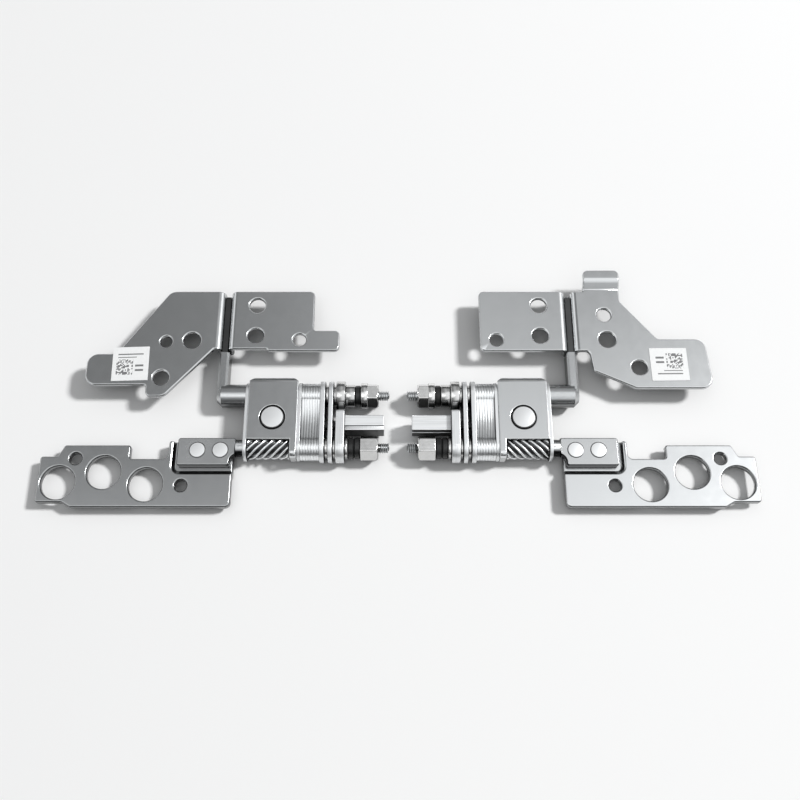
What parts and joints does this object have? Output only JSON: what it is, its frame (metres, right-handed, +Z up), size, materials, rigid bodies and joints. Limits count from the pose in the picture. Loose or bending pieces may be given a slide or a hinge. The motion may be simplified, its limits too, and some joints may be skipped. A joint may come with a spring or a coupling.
{
  "type": "laptop hinge pair",
  "caption": "Mirrored dual-shaft friction hinges for a folding laptop, with flat base brackets, folded lid brackets and crossed helical gears that turn lid and base together.",
  "frame": {"origin": "under the middle of the pair's outer box, on the table it lies on", "axes": "+X along the shafts to the right hinge, +Y from the base brackets to the lid brackets, +Z up"},
  "size_m": [0.1048, 0.0374, 0.0048],
  "materials": {
    "left_sheet": "satin rolled steel sheet",
    "right_sheet": "satin rolled steel sheet",
    "shaft": "matt forged steel",
    "rivet": "ground bright steel",
    "plate": "bright plated steel",
    "friction": "bright blanked steel",
    "ring": "turned steel",
    "spring": "blackened spring steel",
    "nut": "nickel plated",
    "cover": "satin sheet",
    "gear": "greased steel",
    "block": "milled steel",
    "label": "white paper"
  },
  "bodies": {
    "base": {"left_base_bracket": "left_sheet", "left_base_shaft": "shaft", "left_base_rivets": "rivet", "left_base_washers": "plate", "left_base_spacer": "ring", "left_base_springs": "spring", "left_base_nut": "nut", "right_base_bracket": "right_sheet", "right_base_shaft": "shaft", "right_base_rivets": "rivet", "right_base_washers": "plate", "right_base_spacer": "ring", "right_base_springs": "spring", "right_base_nut": "nut"},
    "left_case": {"left_gear_cover": "cover", "left_outer_end_plate": "plate", "left_inner_end_plate": "plate", "left_idler_axle": "rivet", "left_friction_plates": "friction", "left_link_plate_a": "plate", "left_link_plate_b": "plate", "left_stop_plate": "plate", "left_stop_block": "block"},
    "left_idler": {"left_idler_gear": "gear"},
    "left_lid": {"left_lid_bracket": "left_sheet", "left_lid_shaft": "shaft", "left_lid_washers": "plate", "left_lid_collar": "ring", "left_lid_spacer": "ring", "left_lid_springs": "spring", "left_lid_nut": "nut", "left_lid_label": "label"},
    "right_case": {"right_gear_cover": "cover", "right_outer_end_plate": "plate", "right_inner_end_plate": "plate", "right_idler_axle": "rivet", "right_friction_plates": "friction", "right_link_plate_a": "plate", "right_link_plate_b": "plate", "right_stop_plate": "plate", "right_stop_block": "block"},
    "right_idler": {"right_idler_gear": "gear"},
    "right_lid": {"right_lid_bracket": "right_sheet", "right_lid_shaft": "shaft", "right_lid_washers": "plate", "right_lid_collar": "ring", "right_lid_spacer": "ring", "right_lid_springs": "spring", "right_lid_nut": "nut", "right_lid_label": "label"}
  },
  "joints": [
    {"name": "left_case_turn", "type": "hinge", "parent": "base", "child": "left_case", "pos_m": [-0.01845, -0.0098, 0.0022], "axis": [1, 0, 0], "range_deg": [-90, 90]},
    {"name": "left_lid_turn", "type": "hinge", "parent": "left_case", "child": "left_lid", "pos_m": [-0.01845, -0.00152, 0.0022], "axis": [1, 0, 0], "range_deg": [-90, 90]},
    {"name": "left_idler_spin", "type": "hinge", "parent": "left_case", "child": "left_idler", "pos_m": [-0.01845, -0.00566, 0.0022], "axis": [0, 0, 1], "range_deg": [-48.5, 48.5]},
    {"name": "right_case_turn", "type": "hinge", "parent": "base", "child": "right_case", "pos_m": [0.01845, -0.0098, 0.0022], "axis": [1, 0, 0], "range_deg": [-90, 90]},
    {"name": "right_lid_turn", "type": "hinge", "parent": "right_case", "child": "right_lid", "pos_m": [0.01845, -0.00152, 0.0022], "axis": [1, 0, 0], "range_deg": [-90, 90]},
    {"name": "right_idler_spin", "type": "hinge", "parent": "right_case", "child": "right_idler", "pos_m": [0.01845, -0.00566, 0.0022], "axis": [0, 0, 1], "range_deg": [-48.5, 48.5]}
  ],
  "couplings": [
    {"joint": "left_lid_turn", "follows": "left_case_turn", "ratio": 1},
    {"joint": "left_idler_spin", "follows": "left_case_turn", "ratio": -0.53333},
    {"joint": "right_lid_turn", "follows": "right_case_turn", "ratio": 1},
    {"joint": "right_idler_spin", "follows": "right_case_turn", "ratio": 0.53333}
  ]
}
